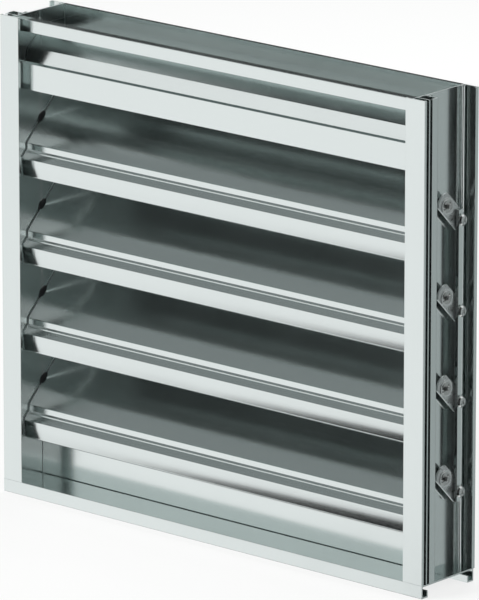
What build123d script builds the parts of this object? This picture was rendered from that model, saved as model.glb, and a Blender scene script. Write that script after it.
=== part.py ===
from build123d import *
import os
from math import cos, radians, sin, sqrt

# Adjustable blade louver: an extruded aluminium frame with a fixed head blade and a column of
# pivoting blades, linked in the right jamb. Millimetres. +X right, +Y to the rear, +Z up, origin at
# the middle of the underside. Sections are drawn as (depth behind the front plane, height).

# Frame
frame_width = 704.5
frame_height = 637.2
frame_depth = 101.6
wall = 2.0
edge_round = 0.6
fit_gap = 0.3
running_gap = 0.05

# Jamb section, measured inwards from the outer edge
jamb_face = 31.0
web_inset = 19.5
face_return = 3.8
kerf_depth = 9.2
kerf_inset = 0.8
hook_start = 14.5
hook_end = 25.5
rear_overhang = 2.2
rear_return = 6.0

# Head and sill sections
sill_height = 17.2
sill_lip = 12.0
sill_lip_rise = 9.0
upstand_height = 55.0
upstand_fillet = 5.5
head_height = 20.8
head_face_drop = 4.5
face_setback = 14.0
head_front_lip = 4.0
head_lip_slot = 1.2
head_back_leg = 24.0
line_depth = 52.0
line_width = 1.1

# Screw splines and frame screws
spline_bore = 3.6
spline_wall = 1.6
spline_slot = 2.4
screw_clearance = 0.1
screw_head_diameter = 8.0
screw_head_height = 2.4
screw_head_round = 1.0
screw_length = 16.0
recess_width = 1.2
recess_length = 4.8
recess_depth = 1.2
jamb_front_spline = 30.0
rear_spline_inset = 7.1
head_spline_first = 19.0
head_spline_second = 39.0

# Pivoting blades
blade_count = 4
blade_pitch = 116.8
blade_angle = 45.0
blade_end_gap = 2.0
pivot_offset = 7.2
plate_offset = 5.8
rear_reach = 38.0
riser_setback = 10.5
step_height = 8.1
lip_height = 23.6
lip_crown = 110.0
lip_bead_radius = 1.4
bead_radius = 1.2
bead_setback = 8.0
rear_bulb = 1.7
corner_cut = 2.0

# Fixed head blade
fixed_lip_height = 34.7
fixed_shelf_drop = 41.2
fixed_shelf_depth = 6.9
fixed_riser_run = 7.1
fixed_plate_rise = 24.2
fixed_hem = 5.0
fixed_spline_run = 7.5

# Axles, bushes, cranks
axle_diameter = 8.0
axle_embed = 38.0
axle_tip = 14.2
axle_flat_width = 6.4
edge_break = 0.5
hub_diameter = 15.0
hub_reach = 5.85
flange_diameter = 21.0
flange_thickness = 1.2
crank_gap = 0.45
crank_thickness = 2.5
crank_width = 24.0
crank_tail_radius = 17.0
crank_tip = 8.0
crank_rear_round = 5.0
crank_radius = 29.0
crank_angle = 45.0
washer_diameter = 22.4
washer_thickness = 0.8
clip_diameter = 16.4
clip_thickness = 1.0
clip_neck = 6.4
clip_mouth = 5.6
clip_relief_radius = 1.6
clip_relief_place = 4.6
clip_relief_angle = 55.0

# Tie bar
bar_width = 9.2
bar_thickness = 4.5
bar_overrun = 13.0
bar_gap = 0.5
pin_diameter = 6.0
pin_gap = 0.1
collar_diameter = 11.0
collar_thickness = 1.7
pin_head_diameter = 14.5
pin_head_height = 3.5
pin_head_round = 1.7
pin_recess_length = 8.4
pin_recess_width = 1.7
pin_recess_depth = 1.8
pin_tail = 1.6
ring_diameter = 10.0
ring_thickness = 0.8

# Places worked out from the sizes above
half_width = frame_width / 2
web_outer = half_width - web_inset
web_inner = web_outer - wall
web_inset_inner = web_inset + wall
head_underside = frame_height - head_height
head_face_top = frame_height - head_face_drop
fixed_end = web_inner - fit_gap
blade_end = web_inner - blade_end_gap
opening_middle = (sill_height + head_underside) / 2
crank_inner = web_outer + hub_reach + crank_gap
crank_outer = crank_inner + crank_thickness
washer_outer = crank_outer + washer_thickness
axle_end = web_outer + axle_tip
bar_inner = crank_outer + bar_gap
bar_outer = bar_inner + bar_thickness
spline_outer_radius = spline_bore / 2 + spline_wall
screw_shank = spline_bore - screw_clearance
front_plane = -frame_depth / 2
# The pivots stand behind the middle of the depth.
pivot_depth = frame_depth / 2 + pivot_offset
trunnion_depth = pivot_depth + crank_radius * cos(radians(crank_angle))
trunnion_drop = crank_radius * sin(radians(crank_angle))
jamb_rear_spline = frame_depth - rear_spline_inset

depth_section = Plane(origin=(0, front_plane, 0), x_dir=(0, 1, 0), z_dir=(1, 0, 0))
left_jamb_section = Plane(origin=(-half_width, front_plane, sill_height), x_dir=(1, 0, 0), z_dir=(0, 0, 1))


def pivot_height(index):
    return opening_middle + ((blade_count - 1) / 2 - index) * blade_pitch


def slab(low, high):
    centre = ((low[0] + high[0]) / 2, (low[1] + high[1]) / 2)
    return Pos(*centre) * Rectangle(high[0] - low[0], high[1] - low[1])


def strip(start, end, thickness):
    # A flat leg of a section. Its thickness lies on the right of the line from start to end.
    run = Vector(end[0] - start[0], end[1] - start[1]).normalized()
    shift = Vector(run.Y, -run.X) * thickness
    far_end = (end[0] + shift.X, end[1] + shift.Y)
    far_start = (start[0] + shift.X, start[1] + shift.Y)
    return Polygon(start, end, far_end, far_start, align=None)


def spline_ring(centre, opening):
    # A C-shaped channel that a self-tapping screw cuts its thread into.
    ring = Circle(spline_outer_radius) - Circle(spline_bore / 2)
    slot = Pos(spline_outer_radius, 0) * Rectangle(2 * spline_outer_radius, spline_slot)
    return Pos(*centre) * (ring - Rot(0, 0, opening) * slot)


def score(centre):
    # A V-shaped line that the die leaves along a section, as a guide for drilling.
    return Pos(*centre) * Rot(0, 0, 45) * Rectangle(line_width, line_width)


def round_corners(section, corners, radius):
    # Rounds the outline at the vertices that lie nearest to the named corners.
    chosen = []
    for corner in corners:
        chosen += [section.vertices().sort_by_distance((corner[0], corner[1], 0))[0]]
    return fillet(chosen, radius)


def along_width(section, half_length):
    face = depth_section * section
    return extrude(face, half_length, both=True)


def turned(profile_pairs, plane):
    # A part turned about the plane's normal, from (radius, from, to) steps along it.
    solids = []
    for radius, start, end in profile_pairs:
        solids += [plane.offset(start) * extrude(Circle(radius), end - start)]
    body = solids[0]
    for step in solids[1:]:
        body += step
    return body


def outward_plane(side, height, depth):
    # Looks outwards along X from the middle of the louver: side is +1 right, -1 left.
    return Plane(origin=(0, front_plane + depth, height), x_dir=(0, side, 0), z_dir=(side, 0, 0))


def arm_plane(index):
    # A crank's own plane at its pivot. The x axis runs along the arm, down and to the rear.
    slope = radians(crank_angle)
    origin = (0, front_plane + pivot_depth, pivot_height(index))
    return Plane(origin=origin, x_dir=(0, cos(slope), -sin(slope)), z_dir=(1, 0, 0))


def cross(length, width):
    # The cross recess of a screw head.
    return Rectangle(length, width) + Rectangle(width, length)


def screw(plane, seat, length):
    # Pan-head self-tapping screw whose head rests on the seat and whose shank runs back from it.
    head = plane.offset(seat) * extrude(Circle(screw_head_diameter / 2), screw_head_height)
    rim = head.edges().group_by(Axis(plane.origin, plane.z_dir))[-1]
    head = chamfer(rim, screw_head_round)
    drive = cross(recess_length, recess_width)
    head -= plane.offset(seat + screw_head_height) * extrude(drive, -recess_depth)
    return head + plane.offset(seat) * extrude(Circle(screw_shank / 2), -length)


# Frame members

def jamb_section():
    depth = frame_depth
    section = slab((0, 0), (jamb_face, wall))
    section += slab((0, 0), (wall, face_return))
    section += slab((jamb_face - wall, 0), (jamb_face, face_return))
    section += slab((web_inset, 0), (web_inset_inner, depth))
    section += slab((kerf_inset, kerf_depth), (web_inset_inner, kerf_depth + wall))
    section += slab((0, hook_end - wall), (web_inset_inner, hook_end))
    section += slab((0, hook_start), (wall, hook_end))
    section += slab((-rear_overhang, depth - wall), (web_inset_inner, depth))
    section += slab((-rear_overhang, depth - rear_return), (wall - rear_overhang, depth))
    spline_inset = web_inset + wall / 2 - spline_outer_radius
    section += spline_ring((spline_inset, jamb_front_spline), 180)
    section += spline_ring((spline_inset, jamb_rear_spline), 180)
    section -= score((web_inset_inner, line_depth))
    face_corners = [(0, 0), (jamb_face, 0), (0, hook_end), (-rear_overhang, depth)]
    return round_corners(section, face_corners, edge_round)


def jamb_holes():
    # Through the web: a bush seat at each pivot, and the frame screws.
    holes = []
    for index in range(blade_count):
        holes += [(pivot_depth, pivot_height(index), hub_diameter / 2)]
    for depth, height in head_screw_places() + fixed_screw_places():
        holes += [(depth, height, screw_shank / 2)]
    return holes


def left_jamb():
    body = extrude(left_jamb_section * jamb_section(), frame_height - sill_height)
    for depth, height, radius in jamb_holes():
        start = outward_plane(-1, height, depth).offset(web_inner - wall)
        body -= start * extrude(Circle(radius), 3 * wall)
    return body


def head_spline_height():
    return head_underside + wall / 2 + spline_outer_radius


def head_section():
    # A slotted box at the front, then an open channel, and a flange at the rear.
    base = head_underside
    depth = frame_depth
    slot = face_setback + wall + head_front_lip
    section = slab((face_setback, base), (depth, base + wall))
    section += slab((face_setback, base), (face_setback + wall, head_face_top))
    section += slab((head_back_leg, base), (head_back_leg + wall, head_face_top))
    section += slab((face_setback, head_face_top - wall), (head_back_leg + wall, head_face_top))
    section -= slab((slot, head_face_top - wall), (slot + head_lip_slot, head_face_top))
    section += slab((depth - wall, base), (depth, frame_height))
    section += slab((depth - rear_return, frame_height - wall), (depth, frame_height))
    section += spline_ring((head_spline_first, head_spline_height()), 90)
    section += spline_ring((head_spline_second, head_spline_height()), 90)
    return round_corners(section, [(face_setback, base), (face_setback, head_face_top)], edge_round)


def sill_section():
    depth = frame_depth
    section = slab((0, sill_height - wall), (depth, sill_height))
    section += slab((0, 0), (wall, sill_height))
    section += slab((0, 0), (sill_lip, wall))
    section += slab((sill_lip - wall, 0), (sill_lip, sill_lip_rise))
    section += slab((depth - wall, 0), (depth, sill_height))
    section += slab((depth - sill_lip, 0), (depth, wall))
    section += slab((depth - sill_lip, 0), (depth - sill_lip + wall, sill_lip_rise))
    section -= score((line_depth, sill_height))
    return round_corners(section, [(0, 0), (0, sill_height), (depth, 0)], edge_round)


def sill():
    # The rear upstand is notched at both ends, so that it stands between the jamb webs.
    body = along_width(sill_section(), half_width)
    foot = (frame_depth - wall, sill_height)
    base = sill_height - wall
    upstand = slab((frame_depth - wall, base), (frame_depth, sill_height + upstand_height))
    upstand += slab((frame_depth - 2 * wall - upstand_fillet, base), (frame_depth, sill_height))
    upstand = round_corners(upstand, [foot], upstand_fillet)
    body += along_width(upstand, fixed_end)
    for side in (-1, 1):
        for depth in (jamb_front_spline, jamb_rear_spline):
            body -= Pos(*sill_screw_place(side, depth)) * extrude(Circle(screw_shank / 2), 3 * wall)
    return body


def sill_screw_place(side, depth):
    inset = web_inset + wall / 2 - spline_outer_radius
    return (side * (half_width - inset), front_plane + depth, sill_height - 2 * wall)


# Blades

def plate_height(depth):
    # Height of the plate's upper face over the pivot axis, at a depth behind the axis.
    slope = radians(blade_angle)
    return (plate_offset + depth * sin(slope)) / cos(slope)


def shelf_height(depth):
    return plate_height(depth) - step_height


def crowned_lip(front, top, height):
    # A lip that curves gently backwards towards its lower edge.
    turn = sqrt(1 - (height / lip_crown) ** 2)
    centre = (front + lip_crown, top)
    ring = Circle(lip_crown) - Circle(lip_crown - wall)
    rear = front + lip_crown * (1 - turn) + 2 * wall
    return (Pos(*centre) * ring) & slab((front - wall, top - height), (rear, top))


def lip_bottom(front, top, height):
    turn = sqrt(1 - (height / lip_crown) ** 2)
    return (front + lip_crown * (1 - turn) + wall / 2, top - height + wall / 2)


def blade_section():
    # Drawn about the pivot axis.
    front = face_setback - pivot_depth
    riser = front + riser_setback
    shelf_rear = riser + wall
    lip_top = shelf_height(front)
    section = strip((riser, plate_height(riser)), (rear_reach, plate_height(rear_reach)), wall)
    section += slab((riser, shelf_height(riser) - wall), (shelf_rear, plate_height(riser) - wall / 2))
    section += strip((front, lip_top), (shelf_rear, shelf_height(shelf_rear)), wall)
    section += crowned_lip(front, lip_top, lip_height)
    section += Pos(*lip_bottom(front, lip_top, lip_height)) * Circle(lip_bead_radius)
    bead_depth = front + bead_setback
    section += Pos(bead_depth, shelf_height(bead_depth)) * Circle(bead_radius)
    bulb_depth = rear_reach + wall / 4
    section += Pos(bulb_depth, plate_height(bulb_depth) - wall / 2 - rear_bulb / 2) * Circle(rear_bulb)
    section += Circle(plate_offset)
    return section - Circle(axle_diameter / 2)


def blade(index):
    centre = Pos(0, front_plane + pivot_depth, pivot_height(index))
    section = Plane(origin=(0, 0, 0), x_dir=(0, 1, 0), z_dir=(1, 0, 0)) * blade_section()
    body = centre * extrude(section, blade_end, both=True)
    lip_top = shelf_height(face_setback - pivot_depth)
    return cut_lip_corners(body, blade_end, face_setback, pivot_height(index) + lip_top)


def cut_lip_corners(body, end, depth, top):
    # The sawn upper corners of the lip are taken off at an angle.
    for side in (-1, 1):
        corner = Pos(side * end, front_plane + depth, top)
        cutter = Rot(0, 45, 0) * Box(corner_cut * sqrt(2), 4 * wall, corner_cut * sqrt(2))
        body -= corner * cutter
    return body


def fixed_shelf_level():
    return head_underside - fixed_shelf_drop


def fixed_crest():
    depth = face_setback + wall + fixed_shelf_depth + fixed_riser_run
    return (depth, head_underside - fixed_plate_rise)


def fixed_screw_places():
    # One spline behind the lip and one under the sloping plate.
    crest = fixed_crest()
    reach = wall / 2 + spline_outer_radius
    low_spline = (face_setback + reach, fixed_shelf_level() - reach)
    slope = radians(blade_angle)
    along = fixed_spline_run / cos(slope)
    high_depth = crest[0] + along * cos(slope) + reach * sin(slope)
    high_spline = (high_depth, crest[1] + along * sin(slope) - reach * cos(slope))
    return [low_spline, high_spline]


def head_screw_places():
    return [(head_spline_first, head_spline_height()), (head_spline_second, head_spline_height())]


def fixed_blade_section():
    level = fixed_shelf_level()
    crest = fixed_crest()
    foot = (face_setback + wall + fixed_shelf_depth, level)
    slope = radians(blade_angle)
    run = fixed_plate_rise / sin(slope) + 4 * wall
    top = (crest[0] + run * cos(slope), crest[1] + run * sin(slope))
    lip_end = level - fixed_lip_height
    section = slab((face_setback, lip_end), (face_setback + wall, level))
    section += slab((face_setback, level - wall), (foot[0] + wall, level))
    section += strip(foot, crest, wall)
    section += strip(crest, top, wall)
    section += slab((face_setback, lip_end), (face_setback + fixed_hem, lip_end + wall))
    low_spline, high_spline = fixed_screw_places()
    section += spline_ring(low_spline, 0)
    section += spline_ring(high_spline, -blade_angle)
    section -= slab((0, head_underside), (frame_depth, frame_height + frame_depth))
    corners = [(face_setback, level), (face_setback, lip_end), crest]
    return round_corners(section, corners, edge_round)


def fixed_blade():
    body = along_width(fixed_blade_section(), fixed_end)
    return cut_lip_corners(body, fixed_end, face_setback, fixed_shelf_level())


# Pivots

def flats(plane, start, end):
    # Cutter that leaves two flats on the axle, which the crank's hole fits.
    cutter = Rectangle(2 * axle_diameter, 2 * axle_diameter) - Rectangle(axle_flat_width, 2 * axle_diameter)
    return plane.offset(start) * extrude(cutter, end - start)


def axle(side, index):
    plane = outward_plane(side, pivot_height(index), pivot_depth)
    radius = axle_diameter / 2
    end = axle_end if side > 0 else web_outer + hub_reach + fit_gap
    body = turned([(radius, blade_end - axle_embed, end)], plane)
    tip = body.edges().group_by(Axis.X)[-1 if side > 0 else 0]
    body = chamfer(tip, edge_break)
    if side > 0:
        body -= flats(arm_plane(index), crank_inner, crank_outer)
        neck = Circle(axle_diameter) - Circle(clip_neck / 2)
        body -= plane.offset(washer_outer) * extrude(neck, clip_thickness)
    return body


def bush(side, index):
    # Flanged plastic bush. The flange sits inside the web, the hub carries the axle outside it.
    plane = outward_plane(side, pivot_height(index), pivot_depth)
    steps = [(flange_diameter / 2, web_inner - flange_thickness, web_inner)]
    steps += [(hub_diameter / 2, web_inner, web_outer + hub_reach)]
    body = turned(steps, plane)
    bore = Circle(axle_diameter / 2 + running_gap)
    length = flange_thickness + wall + hub_reach
    return body - plane.offset(web_inner - flange_thickness) * extrude(bore, length)


def crank(index):
    # Keyed on the axle's flats; its arm points down and to the rear.
    length = crank_radius + crank_tip
    side = crank_width / 2
    outline = slab((0, -side), (length, side))
    outline = round_corners(outline, [(length, -side)], edge_round)
    # The corner that swings past the rear flange is rounder.
    outline = round_corners(outline, [(length, side)], crank_rear_round)
    outline += Circle(crank_tail_radius) & slab((-crank_tail_radius, -side), (0, side))
    outline -= Circle(axle_diameter / 2) & Rectangle(axle_flat_width, axle_diameter)
    outline -= Pos(crank_radius, 0) * Circle(pin_diameter / 2 + pin_gap)
    return arm_plane(index).offset(crank_inner) * extrude(outline, crank_thickness)


def crank_washer(index):
    plane = outward_plane(1, pivot_height(index), pivot_depth)
    ring = Circle(washer_diameter / 2) - Circle(axle_diameter / 2 + running_gap)
    return plane.offset(crank_outer) * extrude(ring, washer_thickness)


def retaining_clip(index):
    # E-clip in the axle's neck, with its mouth facing forwards.
    plane = outward_plane(1, pivot_height(index), pivot_depth)
    outer = clip_diameter / 2
    section = Circle(outer) - Circle(clip_neck / 2)
    section -= Pos(-outer, 0) * Rectangle(2 * outer, clip_mouth)
    for angle in (clip_relief_angle, -clip_relief_angle):
        section -= Rot(0, 0, angle) * Pos(clip_relief_place, 0) * Circle(clip_relief_radius)
    return plane.offset(washer_outer) * extrude(section, clip_thickness)


# Linkage

def trunnion_plane(index):
    return outward_plane(1, pivot_height(index) - trunnion_drop, trunnion_depth)


def tie_bar():
    top = pivot_height(0) - trunnion_drop + bar_overrun
    bottom = pivot_height(blade_count - 1) - trunnion_drop - bar_overrun
    centre = ((bar_inner + bar_outer) / 2, front_plane + trunnion_depth, (top + bottom) / 2)
    body = Pos(*centre) * Box(bar_thickness, bar_width, top - bottom)
    body = chamfer(body.edges().filter_by(Axis.Z), edge_break)
    hole = Circle(pin_diameter / 2)
    for index in range(blade_count):
        body -= trunnion_plane(index).offset(bar_inner) * extrude(hole, bar_thickness)
    return body


def trunnion_screw(index):
    # Pan-head shoulder screw fixed in the tie bar. The crank turns on its shoulder.
    plane = trunnion_plane(index)
    seat = bar_outer + collar_thickness
    inner_end = crank_inner - ring_thickness - pin_tail
    head = plane.offset(seat) * extrude(Circle(pin_head_diameter / 2), pin_head_height)
    rim = head.edges().group_by(Axis.X)[-1]
    head = chamfer(rim, pin_head_round)
    drive = cross(pin_recess_length, pin_recess_width)
    head -= plane.offset(seat + pin_head_height) * Rot(0, 0, 45) * extrude(drive, -pin_recess_depth)
    return head + plane.offset(inner_end) * extrude(Circle(pin_diameter / 2), seat - inner_end)


def trunnion_collar(index):
    ring = Circle(collar_diameter / 2) - Circle(pin_diameter / 2)
    return trunnion_plane(index).offset(bar_outer) * extrude(ring, collar_thickness)


def push_ring(index):
    ring = Circle(ring_diameter / 2) - Circle(pin_diameter / 2)
    start = crank_inner - running_gap - ring_thickness
    return trunnion_plane(index).offset(start) * extrude(ring, ring_thickness)


# Frame screws

def web_screws(places):
    screws = []
    for side in (-1, 1):
        for depth, height in places:
            screws += [screw(outward_plane(side, height, depth), web_outer, screw_length)]
    return Compound(children=screws)


def sill_screws():
    screws = []
    for side in (-1, 1):
        for depth in (jamb_front_spline, jamb_rear_spline):
            place = sill_screw_place(side, depth)
            downwards = Plane(origin=(place[0], place[1], 0), x_dir=(1, 0, 0), z_dir=(0, 0, -1))
            screws += [screw(downwards, wall - sill_height, screw_length)]
    return Compound(children=screws)


nodes = {}
nodes["sill"] = sill()
nodes["jamb_left"] = left_jamb()
nodes["jamb_right"] = mirror(nodes["jamb_left"], about=Plane.YZ)
nodes["head"] = along_width(head_section(), fixed_end)
nodes["fixed_blade"] = fixed_blade()
nodes["head_screws"] = web_screws(head_screw_places())
nodes["fixed_blade_screws"] = web_screws(fixed_screw_places())
nodes["sill_screws"] = sill_screws()
for index in range(blade_count):
    number = str(index + 1)
    nodes["blade_" + number] = blade(index)
    nodes["axle_left_" + number] = axle(-1, index)
    nodes["axle_right_" + number] = axle(1, index)
    nodes["bush_left_" + number] = bush(-1, index)
    nodes["bush_right_" + number] = bush(1, index)
    nodes["crank_" + number] = crank(index)
    nodes["crank_washer_" + number] = crank_washer(index)
    nodes["retaining_clip_" + number] = retaining_clip(index)
nodes["tie_bar"] = tie_bar()
nodes["trunnion_screws"] = Compound(children=[trunnion_screw(index) for index in range(blade_count)])
nodes["trunnion_collars"] = Compound(children=[trunnion_collar(index) for index in range(blade_count)])
nodes["push_rings"] = Compound(children=[push_ring(index) for index in range(blade_count)])

os.makedirs("parts", exist_ok=True)
for name, shape in nodes.items():
    shape.label = name
    export_step(shape, "parts/" + name + ".step")
    print(name, len(shape.solids()), round(shape.volume))
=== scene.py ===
import math
import bmesh
import bpy
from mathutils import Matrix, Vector


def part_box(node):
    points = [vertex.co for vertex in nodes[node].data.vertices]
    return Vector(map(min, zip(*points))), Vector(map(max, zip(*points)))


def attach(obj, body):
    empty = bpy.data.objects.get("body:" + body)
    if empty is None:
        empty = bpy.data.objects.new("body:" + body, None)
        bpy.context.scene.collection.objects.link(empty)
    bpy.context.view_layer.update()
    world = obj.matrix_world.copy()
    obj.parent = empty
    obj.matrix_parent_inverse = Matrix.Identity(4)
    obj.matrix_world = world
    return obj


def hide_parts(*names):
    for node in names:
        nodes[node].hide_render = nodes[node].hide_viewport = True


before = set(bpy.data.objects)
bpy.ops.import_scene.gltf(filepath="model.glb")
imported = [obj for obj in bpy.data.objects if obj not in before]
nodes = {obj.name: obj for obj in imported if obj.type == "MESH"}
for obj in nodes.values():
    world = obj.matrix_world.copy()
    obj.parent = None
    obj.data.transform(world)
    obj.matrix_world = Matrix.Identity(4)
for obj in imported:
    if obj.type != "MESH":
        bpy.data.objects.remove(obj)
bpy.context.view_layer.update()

print("frame loaded:", len(nodes), "pieces")


def hexToLinear(code):
    channels = [int(code[i:i + 2], 16) / 255 for i in (1, 3, 5)]
    linear = [c / 12.92 if c <= 0.04045 else ((c + 0.055) / 1.055) ** 2.4 for c in channels]
    return (*linear, 1.0)


def addNode(tree, kind, settings={}, links={}):
    node = tree.nodes.new("ShaderNode" + kind)
    for key, value in settings.items():
        if isinstance(key, str) and hasattr(node, key):
            setattr(node, key, value)
        else:
            node.inputs[key].default_value = value  # a socket, by its name or its number
    for key, (source, output) in links.items():
        tree.links.new(source.outputs[output], node.inputs[key])
    return node


def newMaterial(name):
    material = bpy.data.materials.new(name)
    material.use_nodes = True
    material.node_tree.nodes.clear()
    return material, material.node_tree


# Camera: a long lens from the right front, a little above the louver
cameraSettings = {
    "lookAt": (0.0531, -0.0508, 0.3316),
    "azimuth": 40.9,  # degrees round from the front
    "elevation": 15.56,
    "distance": 9.266,
    "lens": 442.8,
    "clipEnd": 100,
}


def makeCamera(s):
    data = bpy.data.cameras.new("productCamera")
    data.lens = s["lens"]
    data.clip_end = s["clipEnd"]
    camera = bpy.data.objects.new("productCamera", data)
    bpy.context.scene.collection.objects.link(camera)
    around, up = math.radians(s["azimuth"]), math.radians(s["elevation"])
    back = Vector((math.sin(around) * math.cos(up), -math.cos(around) * math.cos(up), math.sin(up)))
    camera.location = Vector(s["lookAt"]) + back * s["distance"]
    camera.rotation_mode = "QUATERNION"
    camera.rotation_quaternion = (-back).to_track_quat("-Z", "Y")
    bpy.context.scene.camera = camera


makeCamera(cameraSettings)
print("camera placed")

# Studio: a white table, soft boxes, and cards that only the metal sees
studio = {
    "daylight": "#B4B8B8",  # what lights the matt things
    "backdrop": "#FFFFFF",
    "tableColour": "#F4F4F2",
    "tableGlow": 0.75,  # the rest of the table's look is real light, so it keeps the shadow
    "tableLow": (-3.0, -3.0),
    "tableHigh": (3.0, 3.0),
}


def backgroundRays(tree):
    path = addNode(tree, "LightPath")
    seen = addNode(tree, "Math", {"operation": "ADD"},
                   {0: (path, "Is Camera Ray"), 1: (path, "Is Glossy Ray")})
    return addNode(tree, "Math", {"operation": "ADD", "use_clamp": True},
                   {0: (seen, 0), 1: (path, "Is Transmission Ray")})


def makeWorld(s):
    world = bpy.data.worlds.new("studioWorld")
    bpy.context.scene.world = world
    world.use_nodes = True
    tree = world.node_tree
    tree.nodes.clear()
    rays = backgroundRays(tree)
    sky, backdrop = hexToLinear(s["daylight"]), hexToLinear(s["backdrop"])
    colour = addNode(tree, "Mix", {"data_type": "RGBA", 6: sky, 7: backdrop}, {0: (rays, 0)})
    light = addNode(tree, "Background", {"Strength": 1.0}, {"Color": (colour, 2)})
    addNode(tree, "OutputWorld", {}, {"Surface": (light, 0)})


def flatMesh(name, corners):
    mesh = bpy.data.meshes.new(name)
    mesh.from_pydata(corners, [], [tuple(range(len(corners)))])
    piece = bpy.data.objects.new(name, mesh)
    bpy.context.scene.collection.objects.link(piece)
    return piece


def makeTable(s):
    (x0, y0), (x1, y1) = s["tableLow"], s["tableHigh"]
    table = flatMesh("table", [(x0, y0, 0), (x1, y0, 0), (x1, y1, 0), (x0, y1, 0)])
    material, tree = newMaterial("whiteTableTop")  # matt white laminate
    rays = backgroundRays(tree)
    share = addNode(tree, "Math", {"operation": "MULTIPLY", 1: s["tableGlow"]}, {0: (rays, 0)})
    matt = addNode(tree, "BsdfDiffuse", {"Color": hexToLinear(s["tableColour"])})
    glow = addNode(tree, "Emission", {"Color": hexToLinear(s["backdrop"]), "Strength": 1.0})
    both = addNode(tree, "MixShader", {}, {0: (share, 0), 1: (matt, 0), 2: (glow, 0)})
    addNode(tree, "OutputMaterial", {}, {"Surface": (both, 0)})
    table.data.materials.append(material)
    table.visible_glossy = False  # the metal mirrors the backdrop and the cards below the table's level


def makeCard(name, low, high, colour):
    # A flat studio card that shows only as a reflection, square to one axis
    (x0, y0, z0), (x1, y1, z1) = low, high
    corners = [(x0, y0, z0), (x1, y0, z0), (x1, y1, z0), (x0, y1, z0)] if z0 == z1 else \
              [(x0, y0, z0), (x1, y1, z0), (x1, y1, z1), (x0, y0, z1)]
    card = flatMesh(name, corners)
    material, tree = newMaterial(name)
    glow = addNode(tree, "Emission", {"Color": hexToLinear(colour), "Strength": 1.0})
    addNode(tree, "OutputMaterial", {}, {"Surface": (glow, 0)})
    card.data.materials.append(material)
    card.visible_camera = card.visible_diffuse = card.visible_shadow = card.visible_transmission = False


def makeSoftBox(name, place, aim, size, power):
    data = bpy.data.lights.new(name, "AREA")
    data.shape, data.size, data.energy = "SQUARE", size, power
    box = bpy.data.objects.new(name, data)
    bpy.context.scene.collection.objects.link(box)
    box.location = place
    box.rotation_mode = "QUATERNION"
    box.rotation_quaternion = (Vector(aim) - Vector(place)).to_track_quat("-Z", "Y")
    box.visible_camera = box.visible_glossy = False  # the metal mirrors the backdrop and the cards instead


makeWorld(studio)
makeTable(studio)
softBoxes = {  # place, watts
    "keyBox": ((-1.4, -2.6, 2.6), 75),
    "fillBox": ((2.6, -1.6, 1.9), 30),
    "rearBox": ((-1.2, 2.4, 2.2), 40),
}
softBoxSize = 1.6
softBoxAim = (0, 0, 0.3)
for name, (place, power) in softBoxes.items():
    makeSoftBox(name, place, softBoxAim, softBoxSize, power)
cards = {  # lowest corner, highest corner, colour
    "cardBelowFront": ((-2.05, -3.7, -1.5), (3.4, -0.3, -1.5), "#050606"),
    "cardFrontRight": ((1.16, -1.5, -3.0), (4.6, -1.5, 2.6), "#060707"),
    "cardFrontHigh": ((0.2, -1.5, 0.85), (1.16, -1.5, 2.2), "#141616"),
    "cardRightHigh": ((2.7, -1.5, 1.3), (2.7, 0.9, 3.8), "#060707"),
    "cardFrontLeft": ((-3.2, -1.66, 0.98), (-0.5, -1.66, 1.2), "#2C2F2F"),  # a flag for the head channel
    "cardRearLeft": ((-4.0, 1.66, -3.0), (-0.7, 1.66, 1.42), "#2E3131"),
    "cardRearMiddle": ((-0.3, 1.66, -3.0), (1.38, 1.66, 1.05), "#060707"),
    "cardRearRight": ((1.38, 1.66, -2.4), (4.2, 1.66, 1.05), "#A9AFAF"),
    "cardAbove": ((-4.2, -1.9, 2.1), (-0.7, 0.4, 2.1), "#848A8A"),
}
for name, (low, high, colour) in cards.items():
    makeCard(name, low, high, colour)
print("studio ready")


# Finishes. Texture coordinates are in metres, so 1 / (mm / 1000) gives a scale.
def perMetre(millimetres):
    return 1000 / millimetres


aluminium = {
    "colour": "#DDE4E3",
    "grazing": "#C9D0CF",  # aluminium dips a little before it turns into a mirror
    "roughness": (0.15, 0.2),
    "dieLineSpacing": 2.4,  # mm, real lines are about 0.3 mm and wouldn't show
    "dieLineLength": 900,  # mm
    "dieLineDepth": 0.012,  # mm
    "handlingMarks": 130,  # mm across
    "lineShare": 0.35,  # how far the lines, beside the marks, steer the roughness
    "noiseRange": (0.45, 0.95),
    "sawSpacing": 1.6,  # mm, cut ends
    "sawRoughness": 0.42,
    "bumpStrength": 0.25,
}


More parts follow.
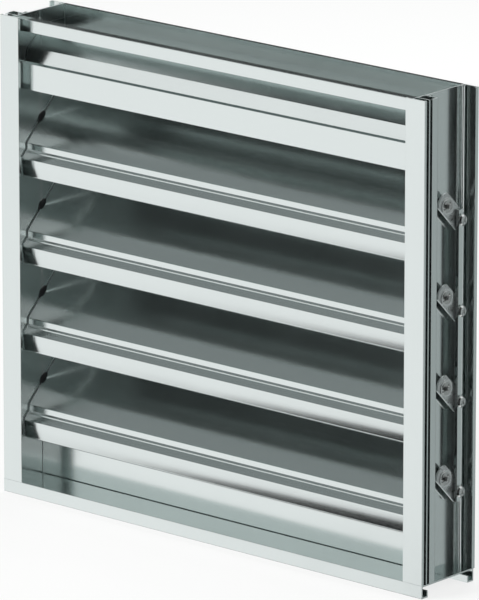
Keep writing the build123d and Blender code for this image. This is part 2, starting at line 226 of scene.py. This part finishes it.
def extrudedAluminium(name, s, along):
    # Mill finish: a soft mirror with faint drawn lines along the bar, matt sawn ends
    material, tree = newMaterial(name)
    place = addNode(tree, "TexCoord")
    across, lengthways = perMetre(s["dieLineSpacing"]), perMetre(s["dieLineLength"])
    stretch = (lengthways, across, across) if along == "X" else (across, across, lengthways)
    lineSpace = addNode(tree, "Mapping", {"Scale": stretch}, {"Vector": (place, "Object")})
    lines = addNode(tree, "TexNoise", {"Scale": 1.0, "Detail": 3.0}, {"Vector": (lineSpace, 0)})
    marks = addNode(tree, "TexNoise", {"Scale": perMetre(s["handlingMarks"]), "Detail": 4.0},
                    {"Vector": (place, "Object")})
    mixed = addNode(tree, "Math", {"operation": "MULTIPLY_ADD", 1: s["lineShare"]},
                    {0: (lines, 0), 2: (marks, 0)})
    (start, stop), (low, high) = s["noiseRange"], s["roughness"]
    satin = addNode(tree, "MapRange", {"From Min": start, "From Max": stop, "To Min": low, "To Max": high},
                    {"Value": (mixed, 0)})
    facing = addNode(tree, "SeparateXYZ", {}, {0: (place, "Normal")})
    endwards = addNode(tree, "Math", {"operation": "ABSOLUTE"}, {0: (facing, along)})
    isEnd = addNode(tree, "Math", {"operation": "GREATER_THAN", 1: 0.9}, {0: (endwards, 0)})
    sawSpace = addNode(tree, "TexWave", {"Scale": perMetre(s["sawSpacing"]) / 20, "Distortion": 0.6},
                       {"Vector": (place, "Object")})
    rough = addNode(tree, "Mix", {"data_type": "FLOAT", 3: s["sawRoughness"]}, {0: (isEnd, 0), 2: (satin, 0)})
    height = addNode(tree, "Mix", {"data_type": "FLOAT"}, {0: (isEnd, 0), 2: (lines, 0), 3: (sawSpace, 1)})
    bump = addNode(tree, "Bump", {"Strength": s["bumpStrength"], "Distance": s["dieLineDepth"] / 1000},
                   {"Height": (height, 0)})
    colour, grazing = hexToLinear(s["colour"]), hexToLinear(s["grazing"])
    metal = addNode(tree, "BsdfPrincipled", {"Base Color": colour, "Metallic": 1.0, "Specular Tint": grazing},
                    {"Roughness": (rough, 0), "Normal": (bump, 0)})
    addNode(tree, "OutputMaterial", {}, {"Surface": (metal, 0)})
    return material


zincPlate = {
    "colour": "#C6CACA",
    "roughness": (0.24, 0.38),
    "grain": 3.0,  # mm, crystals of the plating
    "grainDepth": 0.01,
    "noiseRange": (0.3, 0.7),
    "bumpStrength": 0.3,
}


def zincPlatedSteel(name, s):
    # Thin bright zinc over rolled steel: satin, a little cloudy
    material, tree = newMaterial(name)
    place = addNode(tree, "TexCoord")
    cloud = addNode(tree, "TexNoise", {"Scale": perMetre(s["grain"]), "Detail": 5.0},
                    {"Vector": (place, "Object")})
    (start, stop), (low, high) = s["noiseRange"], s["roughness"]
    satin = addNode(tree, "MapRange", {"From Min": start, "From Max": stop, "To Min": low, "To Max": high},
                    {"Value": (cloud, 0)})
    bump = addNode(tree, "Bump", {"Strength": s["bumpStrength"], "Distance": s["grainDepth"] / 1000},
                   {"Height": (cloud, 0)})
    metal = addNode(tree, "BsdfPrincipled", {"Base Color": hexToLinear(s["colour"]), "Metallic": 1.0},
                    {"Roughness": (satin, 0), "Normal": (bump, 0)})
    addNode(tree, "OutputMaterial", {}, {"Surface": (metal, 0)})
    return material


turnedSteel = {
    "colour": "#B9BBBA",
    "roughness": (0.2, 0.34),
    "toolMarks": 0.9,  # mm between the marks, real ones are finer
    "markDepth": 0.008,
    "bumpStrength": 0.3,
}


def turnedBar(name, s):
    # Bright drawn bar with faint marks of the lathe tool
    material, tree = newMaterial(name)
    place = addNode(tree, "TexCoord")
    marks = addNode(tree, "TexNoise", {"Scale": perMetre(s["toolMarks"]), "Detail": 2.0},
                    {"Vector": (place, "Object")})
    low, high = s["roughness"]
    satin = addNode(tree, "MapRange", {"To Min": low, "To Max": high}, {"Value": (marks, 0)})
    bump = addNode(tree, "Bump", {"Strength": s["bumpStrength"], "Distance": s["markDepth"] / 1000},
                   {"Height": (marks, 0)})
    metal = addNode(tree, "BsdfPrincipled", {"Base Color": hexToLinear(s["colour"]), "Metallic": 1.0},
                    {"Roughness": (satin, 0), "Normal": (bump, 0)})
    addNode(tree, "OutputMaterial", {}, {"Surface": (metal, 0)})
    return material


acetal = {
    "colour": "#1B1C1D",
    "roughness": (0.38, 0.52),
    "grain": 0.8,  # mm
    "grainDepth": 0.01,
    "bumpStrength": 0.4,
    "ior": 1.48,
}


def mouldedAcetal(name, s):
    # Black bearing plastic: waxy, with a fine mould grain
    material, tree = newMaterial(name)
    place = addNode(tree, "TexCoord")
    grain = addNode(tree, "TexNoise", {"Scale": perMetre(s["grain"]), "Detail": 3.0},
                    {"Vector": (place, "Object")})
    low, high = s["roughness"]
    waxy = addNode(tree, "MapRange", {"To Min": low, "To Max": high}, {"Value": (grain, 0)})
    bump = addNode(tree, "Bump", {"Strength": s["bumpStrength"], "Distance": s["grainDepth"] / 1000},
                   {"Height": (grain, 0)})
    plastic = addNode(tree, "BsdfPrincipled", {"Base Color": hexToLinear(s["colour"]), "IOR": s["ior"]},
                      {"Roughness": (waxy, 0), "Normal": (bump, 0)})
    addNode(tree, "OutputMaterial", {}, {"Surface": (plastic, 0)})
    return material


springSteel = dict(zincPlate, colour="#C2C5C4", roughness=(0.26, 0.36))
barAlongX = extrudedAluminium("millAluminiumAlongBlade", aluminium, "X")
barAlongZ = extrudedAluminium("millAluminiumAlongJamb", aluminium, "Z")
crankZinc = zincPlatedSteel("zincPlatedPlate", zincPlate)
screwZinc = zincPlatedSteel("zincPlatedScrew", dict(zincPlate, colour="#D2D5D4", roughness=(0.16, 0.26)))
clipSteel = zincPlatedSteel("zincPlatedSpringSteel", springSteel)
axleSteel = turnedBar("drawnSteelBar", turnedSteel)
bushPlastic = mouldedAcetal("blackAcetal", acetal)
finishes = {
    "sill": barAlongX, "head": barAlongX, "fixed_blade": barAlongX, "blade": barAlongX,
    "jamb": barAlongZ, "tie_bar": barAlongZ, "crank": crankZinc, "crank_washer": screwZinc,
    "axle": axleSteel, "bush": bushPlastic, "retaining_clip": clipSteel,
    "head_screws": screwZinc, "fixed_blade_screws": screwZinc, "sill_screws": screwZinc,
    "trunnion": screwZinc, "push_rings": screwZinc,
}


def dressNodes(finishes):
    for name, piece in nodes.items():
        best = max((key for key in finishes if name.startswith(key)), key=len)
        for slot in piece.material_slots:
            slot.material = finishes[best]
        if not piece.material_slots:
            piece.data.materials.append(finishes[best])


dressNodes(finishes)
print("finishes on")

# The photo shows the sill's upstand in the middle of the depth, and the solid has it at the rear edge
sillSizes = {
    "upstandPlace": 51.0,  # mm behind the front of the frame
    "upstandThickness": 2.0,
    "upstandTop": 61.5,  # mm over the base, a guess: the lowest lip hides it and swings past about 1 mm away
    "endGap": 0.5,  # mm from each jamb web
    "footNotch": 1.0,  # the dark line along the upstand's foot
    "topRound": 0.6,
    "cutAbove": 0.05,  # mm over the sill's top, where the rear upstand is cut off
    "weld": 0.001,
}


def mm(value):
    return value / 1000


def cutRearUpstand(mesh, s, topFace):
    bmesh.ops.remove_doubles(mesh, verts=mesh.verts[:], dist=mm(s["weld"]))
    everything = mesh.verts[:] + mesh.edges[:] + mesh.faces[:]
    height = topFace + mm(s["cutAbove"])
    bmesh.ops.bisect_plane(mesh, geom=everything, plane_co=(0, 0, height), plane_no=(0, 0, 1),
                           clear_outer=True)
    cut = [edge for edge in mesh.edges
           if edge.is_boundary and all(abs(vert.co.z - height) < mm(s["weld"]) for vert in edge.verts)]
    bmesh.ops.holes_fill(mesh, edges=cut, sides=0)


def addUpstand(mesh, s, topFace):
    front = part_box("sill")[0][1] + mm(s["upstandPlace"])
    back, notch, rounding = front + mm(s["upstandThickness"]), mm(s["footNotch"]), mm(s["topRound"])
    top, end = mm(s["upstandTop"]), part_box("head")[1][0] - mm(s["endGap"])
    outline = [(front + notch, topFace), (back, topFace), (back, top - rounding), (back - rounding, top),
               (front + rounding, top), (front, top - rounding), (front, topFace + notch)]
    rings = [[mesh.verts.new((x, y, z)) for y, z in outline] for x in (-end, end)]
    mesh.faces.new(rings[0])
    mesh.faces.new(reversed(rings[1]))
    for i in range(len(outline)):
        j = (i + 1) % len(outline)
        mesh.faces.new((rings[0][j], rings[0][i], rings[1][i], rings[1][j]))


def makeSill(s):
    mesh = bmesh.new()
    mesh.from_mesh(nodes["sill"].data)
    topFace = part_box("jamb_left")[0][2]  # the jambs stand on the sill's top
    cutRearUpstand(mesh, s, topFace)
    addUpstand(mesh, s, topFace)
    bmesh.ops.recalc_face_normals(mesh, faces=mesh.faces[:])
    for face in mesh.faces:
        face.smooth = False
    data = bpy.data.meshes.new("sillSection")
    mesh.to_mesh(data)
    mesh.free()
    piece = bpy.data.objects.new("sillSection", data)
    bpy.context.scene.collection.objects.link(piece)
    data.materials.append(barAlongX)
    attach(piece, "frame")
    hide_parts("sill")


makeSill(sillSizes)
print("sill dressed")

bpy.context.scene.view_settings.view_transform = "Standard"
